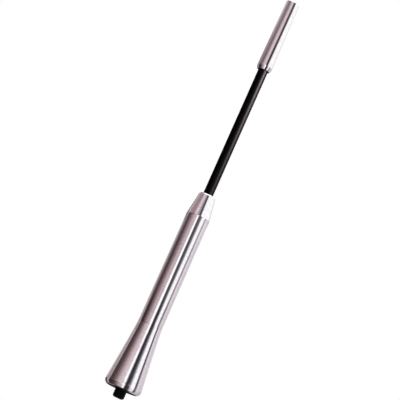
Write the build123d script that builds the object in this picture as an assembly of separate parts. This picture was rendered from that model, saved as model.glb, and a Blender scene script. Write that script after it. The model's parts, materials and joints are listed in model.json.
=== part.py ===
from build123d import *
import os
from math import cos, pi, sin

# A short screw-on car antenna rod, in millimetres. +Z runs along the rod from its stud to its tip, and
# the origin lies on the axis in the foot's bottom face, which seats on the antenna base of the car.
# Screw threads are drawn plain, at their major diameter.

# Outside
stud_diameter = 6.0
stud_reach = 4.2
stud_end_chamfer = 0.7
foot_height = 34.4
foot_base_diameter = 19.45
foot_rim_radius = 2.6
foot_flare_sag = 0.07
foot_neck_length = 5.0
foot_neck_taper = 0.75
sleeve_length = 58.35
sleeve_bottom_diameter = 12.5
sleeve_top_diameter = 12.1
nose_length = 12.35
nose_top_diameter = 8.4
nose_shoulder_radius = 1.2
mast_diameter = 5.1
mast_bare_length = 69.9
tip_length = 38.6
tip_base_diameter = 7.9
tip_top_diameter = 6.9
tip_rim_length = 2.2
tip_mouth_diameter = 6.4
tip_edge_radius = 0.4
joint_edge_break = 0.12

# Clearances, on the diameter
press_clearance = 0.04
slide_clearance = 0.1

# In the foot
socket_diameter = 10.8
seat_web = 2.0
web_hole_diameter = 8.6
insulator_recess = 0.2
insulator_floor = 0.8
stud_hole_diameter = 6.4
stud_grip = 8.0
stud_relief_diameter = 4.9
stud_top_chamfer = 0.5
hub_flats = 8.0
hub_length = 12.0
hub_bore_chamfer = 0.4

# The contact spring and the pilots that centre it
spring_wire = 0.7
spring_pitch = 2.7
spring_dead_turn = 1.0
spring_ground_depth = 0.2
spring_steps_per_turn = 8
pilot_diameter = 4.6
pilot_height = 1.5
pilot_chamfer = 0.3

# In the sleeve
foot_spigot_length = 8.0
sleeve_bore_diameter = 9.2
cap_diameter = 8.2
cap_floor = 1.2
cap_depth = 3.8
cap_overhang = 2.4
cap_chamfer = 0.3
former_spigot_diameter = 6.2
former_core_diameter = 6.6
former_flange = 1.5
former_notch_width = 0.8
coil_wire = 0.3
coil_layers = 2
coil_margin = 1.5

# In the nose and up the mast
nose_spigot_length = 7.0
nose_bore_diameter = 7.6
nose_lip = 3.0
spigot_chamfer = 0.3
bush_web = 1.5
ferrule_flange_diameter = 8.4
ferrule_flange = 2.0
ferrule_neck = 6.0
ferrule_shank_diameter = 3.6
ferrule_shank = 6.0
shank_chamfer = 0.3
crimp_width = 0.8
crimp_depth = 0.25
core_diameter = 3.2
core_grip = 7.5
tip_sheath_grip = 10.0
tip_core_grip = 5.0
tip_mouth_chamfer = 0.1

# Heights that follow from them, from the bottom up
web_top = seat_web
hub_bottom = web_top + insulator_floor
stud_top = hub_bottom + stud_grip
hub_top = hub_bottom + hub_length
spigot_bottom = foot_height - foot_spigot_length
spring_top = spigot_bottom - cap_overhang
cap_rim = spring_top + cap_floor + cap_depth
nose_bottom = foot_height + sleeve_length
nose_top = nose_bottom + nose_length
bush_seat = nose_bottom - nose_spigot_length
ferrule_seat = bush_seat - bush_web
former_top = ferrule_seat - ferrule_flange
sheath_bottom = ferrule_seat + ferrule_neck
core_bottom = sheath_bottom - core_grip
tip_bottom = nose_top + mast_bare_length
sheath_top = tip_bottom + tip_sheath_grip
core_top = sheath_top + tip_core_grip
tip_top = tip_bottom + tip_length

# The seal fills the bore round the mast under the nose's lip
seal_cord = (nose_bore_diameter - mast_diameter - press_clearance) / 2
seal_top = nose_top - nose_lip
seal_bottom = seal_top - seal_cord - press_clearance

# The winding stands on the former's core between its flanges
winding_inner = former_core_diameter + press_clearance
winding_outer = winding_inner + 2 * coil_layers * coil_wire
lead_radius = (winding_inner + winding_outer) / 4
winding_low = cap_rim + former_flange + coil_margin
winding_high = former_top - former_flange - coil_margin


def rod(diameter, low, high):
    """A cylinder on the axis, from height low to height high."""
    return extrude(Pos(0, 0, low) * Circle(diameter / 2), high - low)


def hexagon(flats, low, high):
    """A hexagonal bar on the axis, flats across."""
    return extrude(Pos(0, 0, low) * RegularPolygon(flats / 2, 6, major_radius=False), high - low)


def turned(section):
    """What a section drawn as radius and height makes when it goes round the axis."""
    return revolve(Plane.XZ * section, Axis.Z)


def corner(section, diameter, height):
    """The corner of a section at that diameter and height."""
    return section.vertices().sort_by_distance((diameter / 2, height, 0))[0]


def edge_break(solid, diameter, height, size):
    """Chamfers the round edge of that diameter at that height."""
    rings = [
        edge
        for edge in solid.edges().filter_by(GeomType.CIRCLE)
        if abs(edge.radius - diameter / 2) < 1e-6 and abs(edge.center().Z - height) < 1e-6
    ]
    return chamfer(rings, size)


def threaded_stud():
    """The thread for the car, a relief, and the thread that is screwed into the hub."""
    stud = rod(stud_diameter, -stud_reach, 0)
    stud += rod(stud_relief_diameter, 0, hub_bottom)
    stud += rod(stud_diameter, hub_bottom, stud_top)
    stud = edge_break(stud, stud_diameter, -stud_reach, stud_end_chamfer)
    return edge_break(stud, stud_diameter, stud_top, stud_top_chamfer)


def stud_hub():
    """A hexagon nut with a blind thread, and a pilot on top for the spring."""
    hub = hexagon(hub_flats, hub_bottom, hub_top)
    bore_diameter = stud_diameter + press_clearance
    hub -= rod(bore_diameter, hub_bottom, stud_top)
    hub = edge_break(hub, bore_diameter, hub_bottom, hub_bore_chamfer)
    hub += rod(pilot_diameter, hub_top, hub_top + pilot_height)
    return edge_break(hub, pilot_diameter, hub_top + pilot_height, pilot_chamfer)


def stud_insulator():
    """A stepped bush: its nose fills the web's hole, and its hexagon pocket holds the hub."""
    bush = rod(web_hole_diameter - press_clearance, insulator_recess, web_top)
    bush += rod(socket_diameter - press_clearance, web_top, hub_top)
    bush -= rod(stud_hole_diameter, insulator_recess, hub_bottom)
    return bush - hexagon(hub_flats + press_clearance, hub_bottom, hub_top)


def flared_foot():
    """A hollow cone that flares from a slacker neck to a rounded rim, with a floor round the stud."""
    base = (foot_base_diameter / 2, 0)
    neck = ((sleeve_bottom_diameter + foot_neck_taper) / 2, foot_height - foot_neck_length)
    top = (sleeve_bottom_diameter / 2, foot_height)
    outline = [
        Line((0, 0), base),
        SagittaArc(base, neck, foot_flare_sag),
        Line(neck, top),
        Line(top, (0, foot_height)),
        Line((0, foot_height), (0, 0)),
    ]
    section = make_face(Curve() + outline)
    section = fillet(corner(section, foot_base_diameter, 0), foot_rim_radius)
    section = chamfer(corner(section, sleeve_bottom_diameter, foot_height), joint_edge_break)
    foot = turned(section)
    foot -= rod(web_hole_diameter, 0, web_top)
    return foot - rod(socket_diameter, web_top, foot_height)


def contact_spring():
    """A compression spring with a closed, ground turn at each end."""
    mean_radius = (pilot_diameter + slide_clearance + spring_wire) / 2
    low = hub_top + spring_wire / 2 - spring_ground_depth
    high = spring_top - spring_wire / 2 + spring_ground_depth
    dead_pitch = spring_wire + slide_clearance
    live_low = low + dead_pitch * spring_dead_turn
    live_high = high - dead_pitch * spring_dead_turn
    turns = (live_high - live_low) / spring_pitch + 2 * spring_dead_turn

    def height(turn):
        """The wire's centre: slow through the end turns, and even between them."""
        if turn <= spring_dead_turn:
            return low + dead_pitch * turn
        if turn >= turns - spring_dead_turn:
            return high - dead_pitch * (turns - turn)
        return live_low + spring_pitch * (turn - spring_dead_turn)

    steps = round(turns * spring_steps_per_turn)
    points = []
    for step in range(steps + 1):
        turn = turns * step / steps
        angle = 2 * pi * turn
        points.append((mean_radius * cos(angle), mean_radius * sin(angle), height(turn)))
    path = Spline(points)
    wire = sweep(Plane(path @ 0, z_dir=path % 0) * Circle(spring_wire / 2), path)
    outer_diameter = 2 * mean_radius + 2 * spring_wire
    return wire & rod(outer_diameter, hub_top, spring_top)


def coil_end_cap():
    """A brass cup on the former's end, with a pilot below for the spring."""
    cap = rod(cap_diameter, spring_top, cap_rim)
    cap -= rod(former_spigot_diameter + press_clearance, spring_top + cap_floor, cap_rim)
    cap = edge_break(cap, cap_diameter, spring_top, cap_chamfer)
    cap += rod(pilot_diameter, spring_top - pilot_height, spring_top)
    return edge_break(cap, pilot_diameter, spring_top - pilot_height, pilot_chamfer)


def coil_former():
    """A bobbin with a spigot for the cap, a socket for the ferrule and a notch for each lead."""
    flange_diameter = sleeve_bore_diameter - slide_clearance
    former = rod(former_spigot_diameter, spring_top + cap_floor, cap_rim)
    former += rod(former_core_diameter, cap_rim, former_top)
    former += rod(flange_diameter, cap_rim, cap_rim + former_flange)
    former += rod(flange_diameter, former_top - former_flange, former_top)
    socket_bottom = former_top - ferrule_shank - slide_clearance
    former -= rod(ferrule_shank_diameter + press_clearance, socket_bottom, former_top)
    notch_depth = (flange_diameter - winding_inner) / 2
    for flange_middle in (cap_rim + former_flange / 2, former_top - former_flange / 2):
        notch = Box(2 * notch_depth, former_notch_width, former_flange)
        former -= Pos(flange_diameter / 2, 0, flange_middle) * notch
    return former


def loading_coil():
    """The layers of close turns, drawn as one wall, and the two leads that leave it."""
    coil = rod(winding_outer, winding_low, winding_high)
    coil -= rod(winding_inner, winding_low, winding_high)
    for low, high in ((cap_rim, winding_low), (winding_high, former_top)):
        coil += Pos(lead_radius, 0, 0) * rod(coil_wire, low, high)
    return coil


def body_sleeve():
    """A tube that tapers a little, with a spigot below that is screwed into the foot."""
    bottom_radius = sleeve_bottom_diameter / 2
    top_radius = sleeve_top_diameter / 2
    outline = Polyline(
        (0, foot_height),
        (bottom_radius, foot_height),
        (top_radius, nose_bottom),
        (0, nose_bottom),
        close=True,
    )
    section = make_face(outline)
    section = chamfer(corner(section, sleeve_bottom_diameter, foot_height), joint_edge_break)
    section = chamfer(corner(section, sleeve_top_diameter, nose_bottom), joint_edge_break)
    sleeve = turned(section)
    spigot_diameter = socket_diameter - press_clearance
    sleeve += rod(spigot_diameter, spigot_bottom, foot_height)
    sleeve -= rod(sleeve_bore_diameter, spigot_bottom, nose_bottom)
    return edge_break(sleeve, spigot_diameter, spigot_bottom, spigot_chamfer)


def mast_ferrule():
    """A shank for the former, a flange, and a crimped neck round the mast's core."""
    ferrule = rod(ferrule_shank_diameter, former_top - ferrule_shank, former_top)
    ferrule = edge_break(ferrule, ferrule_shank_diameter, former_top - ferrule_shank, shank_chamfer)
    ferrule += rod(ferrule_flange_diameter, former_top, ferrule_seat)
    ferrule += rod(mast_diameter, ferrule_seat, sheath_bottom)
    ferrule -= rod(core_diameter + press_clearance, core_bottom, sheath_bottom)
    for share in (1 / 3, 2 / 3):
        low = ferrule_seat + ferrule_neck * share - crimp_width / 2
        crimp = rod(mast_diameter + crimp_depth, low, low + crimp_width)
        ferrule -= crimp - rod(mast_diameter - 2 * crimp_depth, low, low + crimp_width)
    return ferrule


def nose_bush():
    """A cup over the ferrule's flange, and a tube round the mast up to the seal."""
    bush = rod(sleeve_bore_diameter - slide_clearance, former_top, bush_seat)
    bush -= rod(ferrule_flange_diameter + press_clearance, former_top, ferrule_seat)
    bush += rod(nose_bore_diameter - press_clearance, bush_seat, seal_bottom)
    return bush - rod(mast_diameter + press_clearance, ferrule_seat, seal_bottom)


def nose_cone():
    """A cone with a rounded shoulder, a lip round the mast and a spigot in the sleeve."""
    bottom_radius = sleeve_top_diameter / 2
    top_radius = nose_top_diameter / 2
    outline = Polyline(
        (0, nose_bottom), (bottom_radius, nose_bottom), (top_radius, nose_top), (0, nose_top), close=True
    )
    section = make_face(outline)
    section = fillet(corner(section, nose_top_diameter, nose_top), nose_shoulder_radius)
    section = chamfer(corner(section, sleeve_top_diameter, nose_bottom), joint_edge_break)
    cone = turned(section)
    spigot_diameter = sleeve_bore_diameter - press_clearance
    cone += rod(spigot_diameter, bush_seat, nose_bottom)
    cone -= rod(nose_bore_diameter, bush_seat, seal_top)
    cone -= rod(mast_diameter + slide_clearance, seal_top, nose_top)
    return edge_break(cone, spigot_diameter, bush_seat, spigot_chamfer)


def mast_seal():
    """A rubber ring round the mast."""
    middle = (seal_bottom + seal_top) / 2
    return Pos(0, 0, middle) * Torus((nose_bore_diameter + mast_diameter) / 4, seal_cord / 2)


def mast_core():
    """The steel wire from the ferrule to the tip cap."""
    return rod(core_diameter, core_bottom, core_top)


def mast_sheath():
    """The plastic tube on the core."""
    return rod(mast_diameter, sheath_bottom, sheath_top) - rod(
        core_diameter + press_clearance, sheath_bottom, sheath_top
    )


def tip_cap():
    """A long cap with a bellied rim and a flat top, bored for the sheath and, above it, for the core."""
    mouth = (tip_mouth_diameter / 2, tip_bottom)
    base = (tip_base_diameter / 2, tip_bottom + tip_rim_length)
    top = (tip_top_diameter / 2, tip_top)
    outline = [
        Line((0, tip_bottom), mouth),
        TangentArc(base, mouth, tangent=Vector(base) - Vector(top)),
        Line(base, top),
        Line(top, (0, tip_top)),
        Line((0, tip_top), (0, tip_bottom)),
    ]
    section = make_face(Curve() + outline)
    section = fillet(corner(section, tip_top_diameter, tip_top), tip_edge_radius)
    cap = turned(section)
    bore_diameter = mast_diameter + press_clearance
    cap -= rod(bore_diameter, tip_bottom, sheath_top)
    cap -= rod(core_diameter + press_clearance, sheath_top, core_top)
    return edge_break(cap, bore_diameter, tip_bottom, tip_mouth_chamfer)


pieces = [
    threaded_stud,
    stud_hub,
    stud_insulator,
    flared_foot,
    contact_spring,
    coil_end_cap,
    coil_former,
    loading_coil,
    body_sleeve,
    mast_ferrule,
    nose_bush,
    nose_cone,
    mast_seal,
    mast_core,
    mast_sheath,
    tip_cap,
]

os.makedirs("parts", exist_ok=True)
for piece in pieces:
    solid = piece()
    solid.label = piece.__name__
    export_step(solid, f"parts/{piece.__name__}.step")
print("length over the stud and the tip cap:", round(tip_top + stud_reach, 2), "mm")
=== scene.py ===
import json
from math import cos, pi, radians, sin, tau

import bmesh
import bpy
from mathutils import Matrix, Vector


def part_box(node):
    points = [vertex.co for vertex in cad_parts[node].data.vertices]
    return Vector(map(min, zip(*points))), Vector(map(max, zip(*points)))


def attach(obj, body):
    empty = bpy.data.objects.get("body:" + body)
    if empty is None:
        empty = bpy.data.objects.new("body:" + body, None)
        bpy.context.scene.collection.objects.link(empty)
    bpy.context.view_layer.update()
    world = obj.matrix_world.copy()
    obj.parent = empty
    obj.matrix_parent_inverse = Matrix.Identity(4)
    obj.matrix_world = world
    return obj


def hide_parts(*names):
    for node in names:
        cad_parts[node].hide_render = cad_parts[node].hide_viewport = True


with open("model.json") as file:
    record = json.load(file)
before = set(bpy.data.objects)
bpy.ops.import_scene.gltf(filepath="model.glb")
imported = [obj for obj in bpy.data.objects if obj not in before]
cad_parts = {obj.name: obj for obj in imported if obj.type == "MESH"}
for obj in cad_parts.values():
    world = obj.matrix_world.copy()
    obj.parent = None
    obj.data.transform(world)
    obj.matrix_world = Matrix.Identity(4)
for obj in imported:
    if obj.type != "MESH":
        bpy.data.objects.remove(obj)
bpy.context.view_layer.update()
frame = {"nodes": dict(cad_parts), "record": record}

# Everything is in metres. +Z runs along the rod, and the foot's bottom face lies at zero.
MM = 0.001
SEGMENTS = 160
SHARP_ANGLE = radians(32)

# Fine forms of the turned pieces. The ends of a straight stretch are doubled, the hold apart.
HOLD = 0.02 * MM
FOOT_RIM_RADIUS = 2.6 * MM
FOOT_BASE_RADIUS = 9.725 * MM
FOOT_FLARE_SAG = 0.07 * MM
FOOT_NECK_LENGTH = 5.0 * MM
FOOT_NECK_TAPER = 0.375 * MM
WEB_THICKNESS = 2.0 * MM
WEB_HOLE_RADIUS = 4.3 * MM
SOCKET_RADIUS = 5.4 * MM
SLEEVE_BOTTOM_RADIUS = 6.25 * MM
SLEEVE_TOP_RADIUS = 6.05 * MM
SLEEVE_BORE_RADIUS = 4.6 * MM
SPIGOT_CHAMFER = 0.3 * MM
NOSE_TOP_RADIUS = 4.2 * MM
NOSE_SHOULDER_RADIUS = 1.2 * MM
NOSE_BORE_RADIUS = 3.8 * MM
NOSE_LIP = 3.0 * MM
NOSE_LIP_RADIUS = 2.6 * MM
TIP_BASE_RADIUS = 3.95 * MM
TIP_TOP_RADIUS = 3.45 * MM
TIP_RIM_LENGTH = 2.2 * MM
TIP_MOUTH_RADIUS = 3.2 * MM
TIP_EDGE_RADIUS = 0.4 * MM
TIP_SHEATH_GRIP = 10.0 * MM
TIP_MOUTH_CHAMFER = 0.1 * MM
JOINT_EDGE_BREAK = 0.12 * MM
FIT = 0.02 * MM

# The stud's screw thread: its pitch is an M6 screw's, and its depth is what the photograph's outline shows
THREAD_PITCH = 1.0 * MM
THREAD_DEPTH = 0.2 * MM
THREAD_CREST = 0.5
THREAD_RINGS = 24
THREAD_RUN_OUT = 0.6 * MM
THREAD_RUBBED = 0.15 * MM
STUD_RADIUS = 3.0 * MM
STUD_RELIEF_RADIUS = 2.45 * MM
STUD_RELIEF_EDGE = 0.001 * MM
STUD_GRIP = 8.0 * MM
STUD_END_CHAMFER = 0.7 * MM
STUD_TOP_CHAMFER = 0.5 * MM

COIL_WIRE_PITCH = 0.3 * MM

# The photograph's view: the camera stands by the rod's base and looks up along it
CAMERA_DISTANCE = 0.8
CAMERA_LENS = 145.3
CAMERA_SENSOR = 36.0
CAMERA_ELEVATION = radians(-10.5)
CAMERA_ROLL = radians(24.0)
CAMERA_TARGET = Vector((-2.57 * MM, 0, 101.25 * MM))

FLOOR_HEIGHT = -52 * MM
FLOOR_RADIUS = 3.0
FLOOR_FADE_START = 0.35 * FLOOR_RADIUS
FLOOR_FADE_END = 0.95 * FLOOR_RADIUS


def between(a, b, share):
    """The value that lies share of the way from a to b."""
    return a + (b - a) * share


def straight(start, end, steps=16):
    """Points of a straight stretch of a section, doubled at both ends so that its shading stays flat."""
    start, end = Vector(start), Vector(end)
    hold = HOLD / (end - start).length
    shares = [0, hold, *(step / steps for step in range(1, steps)), 1 - hold, 1]
    return [tuple(start.lerp(end, share)) for share in shares]


def arc(centre, start, end, steps):
    """Points of a round stretch of a section, about a centre, from one point to another."""
    first, last = start - centre, end - centre
    turn = first.angle(last)
    return [
        tuple(centre + (first * sin(turn * (1 - k / steps)) + last * sin(turn * k / steps)) / sin(turn))
        for k in range(steps + 1)
    ]


def rounded(before, corner, after, radius, steps=12):
    """The arc that rounds a section's corner, between its two straight sides."""
    a, b, c = Vector(before), Vector(corner), Vector(after)
    into, out = (a - b).normalized(), (c - b).normalized()
    half = into.angle(out) / 2
    centre = b + (into + out).normalized() * (radius / sin(half))
    reach = radius * cos(half) / sin(half)
    return arc(centre, b + into * reach, b + out * reach, steps)


def bellied(mouth, base, crown, steps=18):
    """The arc from a mouth to the base of a wall, which it meets without a corner."""
    wall = (crown - base).normalized()
    inward = Vector((-wall.y, wall.x))
    chord = mouth - base
    radius = chord.length_squared / (2 * chord.dot(inward))
    return arc(base + inward * radius, mouth, base, steps)


def round_axis(radius, angle, height):
    """The point at a radius and an angle round the rod's axis."""
    return (radius * cos(angle), radius * sin(angle), height)


def lathe(name, section, body="root"):
    """A closed mesh that a section makes, given as points (radius, height), when it goes round the axis."""
    made = bmesh.new()
    rings = []
    for radius, height in section:
        angles = [tau * k / SEGMENTS for k in range(SEGMENTS)] if radius else [0]
        rings.append([made.verts.new(round_axis(radius, angle, height)) for angle in angles])
    for low, high in zip(rings, rings[1:] + rings[:1]):
        if len(low) == 1 and len(high) == 1:
            continue
        for k in range(SEGMENTS):
            after = (k + 1) % SEGMENTS
            corners = [low[k % len(low)], low[after % len(low)], high[after % len(high)], high[k % len(high)]]
            made.faces.new(dict.fromkeys(corners))
    return shown(name, made, body)


def shown(name, made, body):
    """Links a finished mesh, with smooth faces and crisp edges, and lets it ride on its body."""
    bmesh.ops.recalc_face_normals(made, faces=made.faces)
    for face in made.faces:
        face.smooth = True
    mesh = bpy.data.meshes.new(name)
    made.to_mesh(mesh)
    made.free()
    mesh.set_sharp_from_angle(angle=SHARP_ANGLE)
    piece = bpy.data.objects.new(name, mesh)
    bpy.context.scene.collection.objects.link(piece)
    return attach(piece, body)


def stand_for(piece, node, material):
    """The piece takes the place of a CAD node and its finish."""
    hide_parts(node)
    piece.data.materials.clear()
    piece.data.materials.append(material)
    return piece


def flared_foot():
    """The foot: a rounded rim, a slightly hollow flare, a neck that tapers less, and a socket over a web."""
    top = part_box("flared_foot")[1].z
    neck = top - FOOT_NECK_LENGTH
    neck_radius = SLEEVE_BOTTOM_RADIUS + FOOT_NECK_TAPER
    steps = 48

    def flare(height):
        share = height / neck
        sag = 4 * FOOT_FLARE_SAG * share * (1 - share)
        return (between(FOOT_BASE_RADIUS, neck_radius, share) - sag, height)

    section = rounded((0, 0), flare(0), flare(2 * FOOT_RIM_RADIUS), FOOT_RIM_RADIUS, steps=24)
    rim_top = section[-1]
    heights = [between(rim_top[1], neck, step / steps) for step in range(1, steps)]
    section += straight(rim_top, flare(heights[0]), steps=1)[1:]
    section += [flare(height) for height in heights[1:]]
    section += straight(flare(neck), (SLEEVE_BOTTOM_RADIUS, top - JOINT_EDGE_BREAK), steps=8)
    section += [
        (SLEEVE_BOTTOM_RADIUS - JOINT_EDGE_BREAK, top),
        (SOCKET_RADIUS, top),
        (SOCKET_RADIUS, WEB_THICKNESS),
        (WEB_HOLE_RADIUS, WEB_THICKNESS),
        (WEB_HOLE_RADIUS, 0),
    ]
    return lathe("turned_foot", section)


def body_sleeve():
    """The sleeve: a wall that tapers a little between two broken edges, and a spigot below."""
    spigot_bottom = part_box("body_sleeve")[0].z
    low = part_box("flared_foot")[1].z
    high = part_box("body_sleeve")[1].z
    spigot = SOCKET_RADIUS - FIT
    wall_low = (SLEEVE_BOTTOM_RADIUS, low + JOINT_EDGE_BREAK)
    wall_high = (SLEEVE_TOP_RADIUS, high - JOINT_EDGE_BREAK)
    section = [
        (SLEEVE_BORE_RADIUS, spigot_bottom),
        (spigot - SPIGOT_CHAMFER, spigot_bottom),
        (spigot, spigot_bottom + SPIGOT_CHAMFER),
        (spigot, low),
        (SLEEVE_BOTTOM_RADIUS - JOINT_EDGE_BREAK, low),
        *straight(wall_low, wall_high, steps=40),
        (SLEEVE_TOP_RADIUS - JOINT_EDGE_BREAK, high),
        (SLEEVE_BORE_RADIUS, high),
    ]
    return lathe("turned_sleeve", section)


def nose_cone():
    """The nose: a cone with a rounded shoulder, a lip round the mast and a spigot in the sleeve."""
    bottom, top = (corner.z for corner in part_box("nose_cone"))
    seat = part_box("body_sleeve")[1].z
    spigot = SLEEVE_BORE_RADIUS - FIT
    cone_low = (SLEEVE_TOP_RADIUS, seat + JOINT_EDGE_BREAK)
    cone_high = (NOSE_TOP_RADIUS, top)
    shoulder = rounded(cone_low, cone_high, (0, top), NOSE_SHOULDER_RADIUS)
    section = [
        (NOSE_BORE_RADIUS, bottom),
        (spigot - SPIGOT_CHAMFER, bottom),
        (spigot, bottom + SPIGOT_CHAMFER),
        (spigot, seat),
        (SLEEVE_TOP_RADIUS - JOINT_EDGE_BREAK, seat),
        *straight(cone_low, shoulder[0])[:-1],
        *shoulder,
        (NOSE_LIP_RADIUS, top),
        (NOSE_LIP_RADIUS, top - NOSE_LIP),
        (NOSE_BORE_RADIUS, top - NOSE_LIP),
    ]
    return lathe("turned_nose", section)


def mast_sheath():
    """The black sheath of the mast, a straight tube over the core."""
    low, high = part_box("mast_sheath")
    outer = high.x
    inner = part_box("mast_core")[1].x + FIT
    section = [(inner, low.z), (outer, low.z), (outer, high.z), (inner, high.z)]
    return lathe("mast_tube", section)


def tip_cap():
    """The tip: a long cap with a bellied rim below and a small round round its flat top."""
    bottom, top = (corner.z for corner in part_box("tip_cap"))
    sheath_top = bottom + TIP_SHEATH_GRIP
    core_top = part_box("mast_core")[1].z
    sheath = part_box("mast_sheath")[1].x + FIT
    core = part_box("mast_core")[1].x + FIT
    mouth = Vector((TIP_MOUTH_RADIUS, bottom))
    base = Vector((TIP_BASE_RADIUS, bottom + TIP_RIM_LENGTH))
    crown = Vector((TIP_TOP_RADIUS, top))
    edge = rounded(base, crown, (0, top), TIP_EDGE_RADIUS)
    section = [
        (sheath + TIP_MOUTH_CHAMFER, bottom),
        *bellied(mouth, base, crown),
        *straight(base, edge[0])[1:-1],
        *edge,
        (0, top),
        (0, core_top),
        (core, core_top),
        (core, sheath_top),
        (sheath, sheath_top),
        (sheath, bottom + TIP_MOUTH_CHAMFER),
    ]
    return lathe("turned_tip", section)


def threaded_stud():
    """The stud with its screw thread, which runs out under the foot and starts again in the hub."""
    low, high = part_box("threaded_stud")
    bottom, top, major = low.z, high.z, high.x
    grip = top - STUD_GRIP

    def radius_at(height, angle):
        if 0 < height < grip:
            return STUD_RELIEF_RADIUS
        turn = (height / THREAD_PITCH - angle / tau) % 1
        flank = min(1, abs(2 * turn - 1) / (1 - THREAD_CREST))
        groove = THREAD_DEPTH * (1 - flank * flank * (3 - 2 * flank))
        if height > 0:
            return min(major - groove, major - STUD_TOP_CHAMFER + (top - height))
        fade = min(1, -height / THREAD_RUN_OUT)
        return min(major - groove * fade, major - STUD_END_CHAMFER + (height - bottom))

    step = THREAD_PITCH / THREAD_RINGS
    heights = [bottom + step * k for k in range(int(-bottom / step) + 1)]
    heights += [0, STUD_RELIEF_EDGE, grip - STUD_RELIEF_EDGE]
    heights += [grip + step * k for k in range(int((top - grip) / step) + 1)]
    angles = [tau * k / SEGMENTS for k in range(SEGMENTS)]
    made = bmesh.new()
    rings = [
        [made.verts.new(round_axis(radius_at(height, angle), angle, height)) for angle in angles]
        for height in heights
    ]
    for lower, upper in zip(rings, rings[1:]):
        for k in range(SEGMENTS):
            after = (k + 1) % SEGMENTS
            made.faces.new((lower[k], lower[after], upper[after], upper[k]))
    made.faces.new(reversed(rings[0]))
    made.faces.new(rings[-1])
    return shown("screw_stud", made, "root")


class Nodes:
    """A shader's node tree, to which nodes are added with their inputs given by name."""

    # a mix node has inputs of the same two names for each kind of data, and these are the colours
    MIX_COLOURS = (6, 7)
    MIX_RESULT = 2

    def __init__(self, tree):
        self.tree = tree

    def add(self, kind, operation=None, **inputs):
        node = self.tree.nodes.new("ShaderNode" + kind)
        if operation:
            node.operation = operation
        for name, value in inputs.items():
            self.feed(node.inputs[name.replace("_", " ")], value)
        return node

    def feed(self, socket, value):
        """Links an output to a socket, or sets the socket's own value."""
        if isinstance(value, bpy.types.NodeSocket):
            self.tree.links.new(value, socket)
        else:
            socket.default_value = value

    def math(self, operation, *values):
        node = self.add("Math", operation)
        for socket, value in zip(node.inputs, values):
            self.feed(socket, value)
        return node.outputs[0]

    def length(self, vector):
        node = self.add("VectorMath", "LENGTH")
        self.feed(node.inputs[0], vector)
        return node.outputs["Value"]

    def mix(self, factor, *colours):
        """A colour that goes from one to the other with the factor."""
        node = self.add("Mix")
        node.data_type = "RGBA"
        self.feed(node.inputs["Factor"], factor)
        for index, colour in zip(self.MIX_COLOURS, colours):
            self.feed(node.inputs[index], (*colour, 1) if isinstance(colour, tuple) else colour)
        return node.outputs[self.MIX_RESULT]


class Finish(Nodes):
    """A material whose colour, roughness and bump come from nodes in the rod's own frame."""

    # the wave texture's own factor: at a scale of 1, its phase grows by so many radians to the metre
    WAVE_PHASE = 20

    def __init__(self, name, **uniform):
        self.material = bpy.data.materials.new(name)
        self.material.use_nodes = True
        super().__init__(self.material.node_tree)
        self.shader = self.tree.nodes["Principled BSDF"]
        for socket, value in uniform.items():
            self.shader.inputs[socket.replace("_", " ")].default_value = value
        self.place = self.add("TexCoord").outputs["Object"]
        self.normal = None

    def noise(self, stretch, detail=3.0, roughness=0.55):
        """Noise from 0 to 1, with so many cells to the metre along X, Y and Z."""
        place = self.add("Mapping", Vector=self.place, Scale=stretch).outputs["Vector"]
        made = self.add("TexNoise", Vector=place, Scale=1.0, Detail=detail, Roughness=roughness)
        return made.outputs["Fac"]

    def waves(self, per_metre, wobble):
        """Even rings along the rod, so many to the metre."""
        scale = per_metre / self.WAVE_PHASE * tau
        made = self.add("TexWave", Vector=self.place, Scale=scale, Distortion=wobble, Detail=2.0)
        made.wave_type = "BANDS"
        made.bands_direction = "Z"
        return made.outputs["Fac"]

    def span(self, value, low, high, from_low=0.3, from_high=0.7):
        """The value spread over a range, and kept within it."""
        ends = {"From_Min": from_low, "From_Max": from_high, "To_Min": low, "To_Max": high}
        return self.add("MapRange", Value=value, **ends).outputs["Result"]

    def colour(self, factor, one, other):
        """The base colour goes from one to the other with the factor."""
        self.feed(self.shader.inputs["Base Color"], self.mix(factor, one, other))

    def rough(self, value):
        self.feed(self.shader.inputs["Roughness"], value)

    def bump(self, height, distance):
        """Adds one more layer of relief, so many metres high."""
        node = self.add("Bump", Height=height, Distance=distance, Strength=1.0)
        if self.normal is not None:
            self.feed(node.inputs["Normal"], self.normal)
        self.normal = node.outputs["Normal"]
        self.feed(self.shader.inputs["Normal"], self.normal)


def polished_aluminium():
    """Turned and polished: fine rings, a soft drift of the polish, a fine grain, and a faint rosy tint that
    is a painted reflection, the mauve of the room that the metal mirrors.
    """
    made = Finish("polished_aluminium", Metallic=1.0, Anisotropic=0.35, Anisotropic_Rotation=0.25)
    drift = made.noise((70, 70, 45), detail=2.0)
    rings = made.noise((25, 25, 5200), detail=4.0, roughness=0.7)
    hairlines = made.noise((900, 900, 60), detail=2.0)
    grain = made.noise((850, 850, 1500), detail=1.0)
    # both polish colours carry a painted rosy tint: it stands for the mauve that the metal reflects, not for
    # the metal's own colour
    polish = made.mix(made.span(drift, 0, 1), (0.99, 0.967, 0.975), (0.955, 0.93, 0.94))
    made.colour(made.span(grain, 0, 0.22), polish, (0.12, 0.1, 0.105))
    made.rough(made.span(hairlines, 0.04, 0.075))
    made.bump(rings, 0.5e-6)
    made.bump(hairlines, 0.3e-6)
    tangent = made.add("Tangent")
    tangent.direction_type = "RADIAL"
    tangent.axis = "Z"
    made.feed(made.shader.inputs["Tangent"], tangent.outputs["Tangent"])
    return made.material


def sheath_plastic():
    """Satin black plastic, drawn along the mast, with a fine grain."""
    made = Finish("sheath_plastic", Specular_IOR_Level=0.03)
    streaks = made.noise((1600, 1600, 12), detail=2.0)
    grain = made.noise((5000, 5000, 5000), detail=2.0)
    made.colour(made.span(streaks, 0, 1), (0.0002, 0.0002, 0.0002), (0.0006, 0.0005, 0.0006))
    made.rough(made.span(grain, 0.3, 0.36))
    made.bump(streaks, 0.5e-6)
    made.bump(grain, 1.5e-6)
    return made.material


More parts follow.
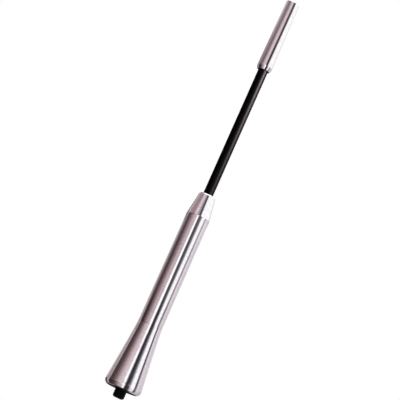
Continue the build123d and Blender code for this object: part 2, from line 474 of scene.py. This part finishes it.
def black_steel():
    """Blackened steel, a little brighter where the crests of the thread are rubbed."""
    made = Finish("black_steel", Specular_IOR_Level=0.08)
    apart = made.add("SeparateXYZ", Vector=made.place)
    flat = made.add("CombineXYZ", X=apart.outputs["X"], Y=apart.outputs["Y"])
    radius = made.length(flat.outputs["Vector"])
    crest = made.span(radius, 0, 1, STUD_RADIUS - THREAD_RUBBED, STUD_RADIUS)
    made.colour(crest, (0.001, 0.001, 0.0011), (0.003, 0.0029, 0.0029))
    grain = made.noise((2600, 2600, 2600), detail=3.0)
    made.rough(made.span(grain, 0.38, 0.55))
    made.bump(grain, 4e-6)
    return made.material


def moulded(name, dark, light, roughness):
    """Moulded plastic or rubber with a soft mottle and a matt skin."""
    made = Finish(name)
    mottle = made.noise((420, 420, 420), detail=3.0)
    skin = made.noise((4200, 4200, 4200), detail=2.0)
    made.colour(made.span(mottle, 0, 1), dark, light)
    made.rough(made.span(skin, *roughness))
    made.bump(skin, 3e-6)
    return made.material


def brass():
    """Bare turned brass with even tool marks."""
    made = Finish("brass", Metallic=1.0)
    rings = made.waves(5000, 1.5)
    stain = made.noise((260, 260, 260), detail=3.0)
    made.colour(made.span(stain, 0, 1), (0.62, 0.42, 0.16), (0.78, 0.58, 0.28))
    made.rough(made.span(stain, 0.22, 0.34))
    made.bump(rings, 2e-6)
    return made.material


def copper_wire():
    """Enamelled copper wire, whose turns lie side by side along the winding."""
    made = Finish("copper_wire", Metallic=1.0, Coat_Weight=0.6, Coat_Roughness=0.12)
    turns = made.waves(1 / COIL_WIRE_PITCH, 0.0)
    stain = made.noise((300, 300, 300), detail=2.0)
    made.colour(made.span(stain, 0, 1), (0.55, 0.2, 0.09), (0.72, 0.3, 0.14))
    made.rough(made.span(turns, 0.2, 0.38, 0, 1))
    made.bump(turns, 0.1 * MM)
    return made.material


def bright_steel():
    """Bright drawn wire with fine lines and a trace of oil."""
    made = Finish("bright_steel", Metallic=1.0)
    lines = made.noise((3200, 3200, 800), detail=2.0)
    made.colour(made.span(lines, 0, 1), (0.48, 0.48, 0.5), (0.62, 0.62, 0.63))
    made.rough(made.span(lines, 0.18, 0.3))
    made.bump(lines, 1.5e-6)
    return made.material


def dress():
    """Builds the outer pieces, and gives every CAD node that stays its own finish."""
    finishes = {
        "polished_aluminium": polished_aluminium(),
        "sheath_plastic": sheath_plastic(),
        "black_steel": black_steel(),
        "black_nylon": moulded("black_nylon", (0.008, 0.008, 0.009), (0.02, 0.02, 0.021), (0.5, 0.62)),
        "natural_nylon": moulded("natural_nylon", (0.66, 0.62, 0.52), (0.78, 0.75, 0.66), (0.42, 0.54)),
        "seal_rubber": moulded("seal_rubber", (0.01, 0.01, 0.01), (0.022, 0.022, 0.022), (0.62, 0.74)),
        "brass": brass(),
        "copper_wire": copper_wire(),
        "bright_steel": bright_steel(),
    }
    dressed = [
        (flared_foot(), "flared_foot"),
        (body_sleeve(), "body_sleeve"),
        (nose_cone(), "nose_cone"),
        (tip_cap(), "tip_cap"),
        (mast_sheath(), "mast_sheath"),
        (threaded_stud(), "threaded_stud"),
    ]
    slots = {part["node"]: part["material_slot"] for part in frame["record"]["subparts"]}
    for piece, node in dressed:
        stand_for(piece, node, finishes[slots[node]])
    replaced = {node for _, node in dressed}
    for node, shape in frame["nodes"].items():
        if node not in replaced:
            shape.data.materials.clear()
            shape.data.materials.append(finishes[slots[node]])


# The studio walls, as the polished pieces mirror them: degrees round from the camera, to its right, and
# what stands there. The lowest walls show in the sleeve's lower end and the low ones in the rest of it,
# the middle ones in the foot, the high ones in the tip and the upper ones in the nose.
LIGHT_GREY = (0.6, 0.57, 0.58)
PALE_GREY = (0.5, 0.47, 0.48)
GREY = (0.38, 0.335, 0.35)
MAROON = (0.085, 0.054, 0.06)
DEEP_MAROON = (0.042, 0.025, 0.029)
MAUVE = (0.22, 0.155, 0.165)
ROSE_GREY = (0.42, 0.32, 0.34)
DUSTY_ROSE = (0.55, 0.46, 0.485)
WHITE = (1.12, 1.12, 1.14)
BRIGHT = (1.5, 1.48, 1.52)
SMOKE = (0.09, 0.088, 0.1)
PEARL = (0.86, 0.85, 0.86)
DIM_LILAC = (0.66, 0.6, 0.655)
LILAC = (0.8, 0.74, 0.79)

LOWEST_WALLS = [
    (-180, LIGHT_GREY), (-146, (0.52, 0.475, 0.485)), (-124, (0.41, 0.365, 0.38)),
    (-112, (0.22, 0.18, 0.19)), (-102, DEEP_MAROON), (-86, (0.036, 0.021, 0.025)), (-74, MAROON),
    (-60, MAUVE), (-46, (0.38, 0.275, 0.29)), (-34, DUSTY_ROSE), (-20, (0.53, 0.44, 0.465)),
    (-8, WHITE), (-4, BRIGHT), (1, BRIGHT), (6, (0.55, 0.53, 0.56)), (12, SMOKE),
    (16, (0.022, 0.02, 0.026)), (25, (0.022, 0.02, 0.026)), (34, (0.12, 0.11, 0.13)), (45, WHITE),
    (62, WHITE), (69, (0.45, 0.42, 0.46)), (75, (0.19, 0.17, 0.19)), (81, (0.19, 0.17, 0.19)),
    (92, (0.7, 0.64, 0.7)), (104, (0.78, 0.72, 0.77)), (125, DIM_LILAC), (165, LILAC),
]
LOW_WALLS = [
    (-180, LIGHT_GREY), (-146, (0.52, 0.475, 0.485)), (-134, GREY), (-122, (0.29, 0.245, 0.255)),
    (-109, (0.135, 0.1, 0.11)), (-98, MAROON), (-82, (0.085, 0.053, 0.058)),
    (-60, (0.27, 0.195, 0.205)), (-47, ROSE_GREY), (-35, (0.58, 0.485, 0.51)),
    (-20, (0.54, 0.45, 0.475)), (-8, WHITE), (-4, BRIGHT), (-1, BRIGHT), (4, (0.5, 0.48, 0.51)),
    (10, (0.095, 0.092, 0.105)), (14, (0.05, 0.048, 0.056)), (22, (0.08, 0.077, 0.09)),
    (31, (0.22, 0.21, 0.23)), (41, (0.95, 0.94, 0.98)), (45, WHITE), (63, WHITE),
    (69, (0.62, 0.59, 0.63)), (75, (0.28, 0.26, 0.28)), (80, (0.28, 0.26, 0.28)),
    (91, (0.8, 0.74, 0.8)), (99, (0.87, 0.8, 0.86)), (116, DIM_LILAC), (165, LILAC),
]
MIDDLE_WALLS = [
    (-180, MAROON), (-144, MAROON), (-134, (0.19, 0.16, 0.17)), (-124, (0.49, 0.445, 0.46)),
    (-112, (0.47, 0.425, 0.44)), (-102, (0.075, 0.047, 0.053)), (-78, (0.082, 0.052, 0.058)),
    (-60, MAUVE), (-47, ROSE_GREY), (-35, (0.6, 0.49, 0.51)), (-22, (0.71, 0.6, 0.63)),
    (-12, (0.73, 0.63, 0.66)), (-6, WHITE), (-3, BRIGHT), (3, BRIGHT), (7, (0.5, 0.48, 0.52)),
    (12, (0.06, 0.055, 0.068)), (17, (0.032, 0.028, 0.038)), (27, (0.042, 0.037, 0.05)),
    (35, (0.12, 0.11, 0.13)), (46, (0.84, 0.84, 0.88)), (51, WHITE), (68, WHITE),
    (76, (0.08, 0.07, 0.085)), (83, (0.08, 0.07, 0.085)), (94, (0.8, 0.73, 0.79)), (103, LILAC),
    (134, (0.6, 0.54, 0.59)), (165, (0.6, 0.54, 0.59)),
]
HIGH_WALLS = [
    (-180, PALE_GREY), (-135, (0.32, 0.275, 0.285)), (-106, (0.33, 0.275, 0.285)),
    (-76, (0.205, 0.145, 0.155)), (-58, (0.19, 0.13, 0.14)), (-40, (0.4, 0.31, 0.33)),
    (-26, (0.63, 0.53, 0.55)), (-10, (0.78, 0.68, 0.71)), (1, (0.54, 0.455, 0.48)),
    (11, (0.16, 0.13, 0.145)), (19, (0.014, 0.01, 0.014)), (28, (0.014, 0.01, 0.014)),
    (38, (0.24, 0.23, 0.24)), (47, (0.94, 0.93, 0.96)), (52, WHITE), (118, WHITE), (132, PEARL),
    (165, PEARL),
]
UPPER_WALLS = [
    (-180, PALE_GREY), (-135, (0.47, 0.41, 0.42)), (-104, (0.36, 0.27, 0.28)),
    (-90, (0.41, 0.31, 0.32)), (-76, (0.34, 0.245, 0.26)), (-58, (0.34, 0.245, 0.26)),
    (-44, (0.6, 0.47, 0.5)), (-34, (0.83, 0.69, 0.73)), (-22, (0.72, 0.6, 0.64)),
    (-11, (0.41, 0.36, 0.39)), (-3, (0.31, 0.27, 0.29)), (4, (0.11, 0.095, 0.105)),
    (9, (0.04, 0.035, 0.04)), (14, (0.06, 0.055, 0.06)), (20, (0.4, 0.39, 0.41)), (27, WHITE),
    (118, WHITE), (132, PEARL), (165, PEARL),
]

# What lies over and under the walls: the ceiling, the dark ground, and what the foot's rim mirrors in
# front of it, to its left and to its right
ZENITH = (1.0, 0.99, 1.0)
DARK = (0.02, 0.015, 0.018)
RIM_FRONT = (0.02, 0.016, 0.018)
RIM_LEFT = (0.18, 0.155, 0.16)
RIM_RIGHT = (0.5, 0.47, 0.5)

# Where the foot's, the tip's and the nose's walls begin. A height here is the sine of a direction's
# elevation. Each border bulges up on the camera's side, and is soft by so much to both sides.
FOOT_BORDER = {"height": 0.184, "bulge": 0.016, "soft": 0.004}
TIP_BORDER = {"height": 0.26, "bulge": 0.028, "soft": 0.003}
NOSE_BORDER = {"height": 0.353, "bulge": 0.047, "soft": 0.01}

# Some edges lean: the sleeve's stripe beside the highlight moves left with height, about a level in
# degrees, and the tip's edges move right, those on the right most.
STRIPE_LEAN = 1.4
LOWEST_LEVEL = 6.3
LOW_LEVEL = 8.3
TIP_LEAN = -4.5
TIP_RIGHT_LEAN = -2.0
TIP_LEVEL = 18.5
TIP_LOWEST = 16.5
TIP_HIGHEST = 20.0

# Fades over the height, from none to full
SLEEVE_END = (0.119, 0.123)
UNDER_SLEEVE = (0.095, 0.085)
SLEEVE_TOP = (0.155, 0.18)
TIP_TOP = (0.285, 0.345)
CEILING = (0.64, 0.87)
JOINT_UPPER = (-0.03, -0.06)
JOINT_LOWER = (-0.2, -0.15)
LEFT_GROUND = (-0.02, -0.09)
GROUND = (-0.05, -0.6)

# Fades over the azimuth, in radians, from none to full
STRIPE_LEFT = (-0.12, 0.0)
STRIPE_RIGHT = (0.5, 0.35)
SLEEVE_RIGHT = (1.05, 1.3)
TIP_RIGHT = (-0.2, 0.3)
TIP_LEFT = (-0.8, -1.4)
TIP_LEFT_EDGE = (-1.65, -2.4)
JOINT_FRONT = (-0.25, -0.7)
GROUND_FRONT = (-0.3, -1.2)
LEFT_END = (-2.05, -1.85)
RIM_TO_LEFT = (-0.7, -1.3)
RIM_TO_RIGHT = (0.7, 1.4)

# Fades over the tilt of a surface at the foot, as a sine: the underside of its rim, and its bottom face
RIM_UNDERSIDE = (-0.68, -0.84)
BOTTOM_FACE = (-0.975, -0.995)

# How much of the haze and of the dark shows
SLEEVE_HAZE = 0.02
SLEEVE_HAZE_RIGHT = 0.18
TIP_HAZE_LEFT = 0.1
TIP_HAZE_EDGE = 0.8
JOINT_DARK = 0.95
LEFT_DARK = 0.55
GROUND_DARK = 0.25

# The directions to the camera from the rod's middle and from its foot: how far level, and how far down
VIEW_LEVEL = 0.98
FOOT_VIEW_LEVEL = 0.998
FOOT_VIEW_DOWN = 0.056


class Room(Nodes):
    """The room that the metal mirrors, by the direction in which it is seen."""

    def __init__(self, tree):
        super().__init__(tree)
        tree.nodes.clear()
        direction = self.add("SeparateXYZ", Vector=self.add("TexCoord").outputs["Generated"])
        across, self.away, self.height = (direction.outputs[axis] for axis in "XYZ")
        # twice the angle of a surface that mirrors this direction, so that walls run straight down the rims
        facing = self.math("ARCTAN2", across, self.math("SUBTRACT", VIEW_LEVEL, self.away))
        self.azimuth = self.math("MULTIPLY", facing, 2.0)

    def times(self, first, *others):
        """The product of the values."""
        product = first
        for value in others:
            product = self.math("MULTIPLY", product, value)
        return product

    def scaled(self, value, factor, offset):
        """The value times the factor, plus the offset."""
        return self.math("MULTIPLY_ADD", value, factor, offset)

    def step(self, value, start, end):
        """From 0 to 1 as the value goes from start to end."""
        node = self.add("MapRange", Value=value, From_Min=start, From_Max=end)
        node.interpolation_type = "SMOOTHSTEP"
        return node.outputs["Result"]

    def over_height(self, fade):
        return self.step(self.height, *fade)

    def over_azimuth(self, fade):
        return self.step(self.azimuth, *fade)

    def above(self, height, bulge, soft):
        """From 0 to 1 as a direction rises through a border, which is higher on the camera's side."""
        level = self.scaled(self.math("COSINE", self.azimuth), -bulge, self.height)
        return self.step(level, height - soft, height + soft)

    def walls(self, bands, lean=0.0, level=0.0, lowest=0.0, highest=35.0):
        """The walls all round, whose edges lean about a level, from the lowest to the highest, in degrees."""
        ends = {"Min": sin(radians(lowest)), "Max": sin(radians(highest))}
        clamped = self.add("Clamp", Value=self.height, **ends).outputs["Result"]
        rise = self.math("SUBTRACT", clamped, sin(radians(level)))
        turned = self.scaled(rise, lean, self.azimuth)
        ramp = self.add("ValToRGB", Fac=self.scaled(turned, 1 / tau, 0.5))
        stops = ramp.color_ramp.elements
        for index, (degrees, shade) in enumerate([*bands, (180, bands[0][1])]):
            place = (degrees + 180) / 360
            stop = stops[index] if index < len(stops) else stops.new(place)
            stop.position = place
            stop.color = (*shade, 1)
        return ramp.outputs["Color"]

    def sleeve(self):
        """What the sleeve mirrors: two sets of walls, with a haze at the top that is thicker on the right."""
        stripe = self.times(self.over_azimuth(STRIPE_LEFT), self.over_azimuth(STRIPE_RIGHT), STRIPE_LEAN)
        lower_end = self.walls(LOWEST_WALLS, stripe, LOWEST_LEVEL)
        rest = self.walls(LOW_WALLS, stripe, LOW_LEVEL)
        amount = self.scaled(self.over_azimuth(SLEEVE_RIGHT), SLEEVE_HAZE_RIGHT, SLEEVE_HAZE)
        haze = self.times(self.over_height(SLEEVE_TOP), amount)
        return self.mix(haze, self.mix(self.over_height(SLEEVE_END), lower_end, rest), WHITE)

    def tip(self):
        """What the tip mirrors: the high walls, with a haze at the top on the left."""
        lean = self.scaled(self.over_azimuth(TIP_RIGHT), TIP_RIGHT_LEAN, TIP_LEAN)
        high = self.walls(HIGH_WALLS, lean, TIP_LEVEL, TIP_LOWEST, TIP_HIGHEST)
        left = self.times(self.over_azimuth(TIP_LEFT), TIP_HAZE_LEFT)
        amount = self.scaled(self.over_azimuth(TIP_LEFT_EDGE), TIP_HAZE_EDGE, left)
        return self.mix(self.times(self.over_height(TIP_TOP), amount), high, WHITE)

    def darkened(self, shade):
        """The room with its dark ground, darker on the left and darkest where the joints mirror it."""
        ring = self.times(self.over_height(JOINT_UPPER), self.over_height(JOINT_LOWER))
        stretch = self.times(self.over_azimuth(JOINT_FRONT), self.over_azimuth(LEFT_END))
        shade = self.mix(self.times(ring, stretch, JOINT_DARK), shade, DARK)
        on_left = self.times(self.over_azimuth(GROUND_FRONT), self.over_azimuth(LEFT_END), LEFT_DARK)
        shade = self.mix(self.times(on_left, self.over_height(LEFT_GROUND)), shade, DARK)
        return self.mix(self.times(self.over_height(GROUND), GROUND_DARK), shade, DARK)

    def under_foot(self, shade):
        """The room with what the foot's rim and its bottom face mirror below them."""
        # how far a surface at the foot that mirrors this direction faces down, as the sine of its tilt
        length = self.math("SQRT", self.scaled(self.away, -2 * FOOT_VIEW_LEVEL, 2.0))
        tilt = self.math("DIVIDE", self.math("SUBTRACT", self.height, FOOT_VIEW_DOWN), length)
        left = self.mix(self.over_azimuth(RIM_TO_LEFT), RIM_FRONT, RIM_LEFT)
        below = self.mix(self.over_azimuth(RIM_TO_RIGHT), left, RIM_RIGHT)
        shade = self.mix(self.step(tilt, *RIM_UNDERSIDE), shade, below)
        return self.mix(self.step(tilt, *BOTTOM_FACE), shade, DARK)


def studio():
    """A white room for the camera, whose walls the metal mirrors."""
    world = bpy.data.worlds.new("studio")
    bpy.context.scene.world = world
    world.use_nodes = True
    room = Room(world.node_tree)
    middle = room.walls(MIDDLE_WALLS)
    shade = room.mix(room.above(**FOOT_BORDER), room.sleeve(), middle)
    shade = room.mix(room.over_height(UNDER_SLEEVE), shade, middle)
    shade = room.mix(room.above(**TIP_BORDER), shade, room.tip())
    shade = room.mix(room.above(**NOSE_BORDER), shade, room.walls(UPPER_WALLS))
    shade = room.mix(room.over_height(CEILING), shade, ZENITH)
    shade = room.under_foot(room.darkened(shade))
    seen = room.add("LightPath").outputs["Is Camera Ray"]
    background = room.add("Background", Color=room.mix(seen, shade, (1, 1, 1)), Strength=1.0)
    room.add("OutputWorld", Surface=background.outputs["Background"])


def softbox(name, azimuth, elevation, distance, width, height, radiance, colour=(1, 1, 1), only=None):
    """A soft lamp that faces the rod's middle and that the camera doesn't see. Its angles are in degrees."""
    light = bpy.data.lights.new(name, "AREA")
    light.shape = "RECTANGLE"
    light.size = width
    light.size_y = height
    light.energy = radiance * pi * width * height
    light.color = colour
    lamp = bpy.data.objects.new(name, light)
    bpy.context.scene.collection.objects.link(lamp)
    a, e = radians(azimuth), radians(elevation)
    back = Vector((cos(e) * sin(a), -cos(e) * cos(a), sin(e)))
    lamp.location = Vector((0, 0, CAMERA_TARGET.z)) + back * distance
    lamp.rotation_euler = back.to_track_quat("Z", "Y").to_euler()
    lamp.visible_camera = False
    if only:
        lit = bpy.data.collections.new(name)
        lit.objects.link(bpy.data.objects[only])
        lamp.light_linking.receiver_collection = lit


def floor():
    """A round pale floor that fades out into the white room, and that the metal doesn't mirror."""
    made = bmesh.new()
    bmesh.ops.create_circle(made, cap_ends=True, segments=96, radius=FLOOR_RADIUS)
    mesh = bpy.data.meshes.new("floor")
    made.to_mesh(mesh)
    made.free()
    ground = bpy.data.objects.new("floor", mesh)
    ground.location.z = FLOOR_HEIGHT
    bpy.context.scene.collection.objects.link(ground)
    ground.visible_glossy = False
    paint = Finish("floor")
    mottle = paint.noise((3, 3, 3))
    paint.colour(paint.span(mottle, 0, 1), (0.86, 0.86, 0.86), (0.88, 0.88, 0.88))
    paint.rough(0.9)
    clear = paint.add("BsdfTransparent")
    gone = paint.span(paint.length(paint.place), 0, 1, FLOOR_FADE_START, FLOOR_FADE_END)
    fade = paint.add("MixShader", Fac=gone)
    paint.feed(fade.inputs[1], paint.shader.outputs["BSDF"])
    paint.feed(fade.inputs[2], clear.outputs["BSDF"])
    paint.feed(paint.tree.nodes["Material Output"].inputs["Surface"], fade.outputs["Shader"])
    mesh.materials.append(paint.material)


def camera():
    """The photograph's view, with the rod leaning to the right across it."""
    lens = bpy.data.cameras.new("camera")
    lens.lens = CAMERA_LENS
    lens.sensor_width = CAMERA_SENSOR
    eye = bpy.data.objects.new("camera", lens)
    bpy.context.scene.collection.objects.link(eye)
    back = Vector((0, -cos(CAMERA_ELEVATION), sin(CAMERA_ELEVATION)))
    upright = back.to_track_quat("Z", "Y").to_matrix()
    turned = upright @ Matrix.Rotation(CAMERA_ROLL, 3, "Z")
    eye.matrix_world = Matrix.Translation(CAMERA_TARGET + back * CAMERA_DISTANCE) @ turned.to_4x4()
    bpy.context.scene.camera = eye


dress()
studio()
softbox(
    "mast_strip", azimuth=59, elevation=30.5, distance=0.46, width=0.3, height=0.12, radiance=200,
    colour=(1.0, 0.86, 0.98), only="mast_tube",
)
softbox("top_panel", azimuth=0, elevation=88, distance=1.2, width=1.0, height=1.0, radiance=1.6)
floor()
camera()
bpy.context.scene.view_settings.view_transform = "Standard"
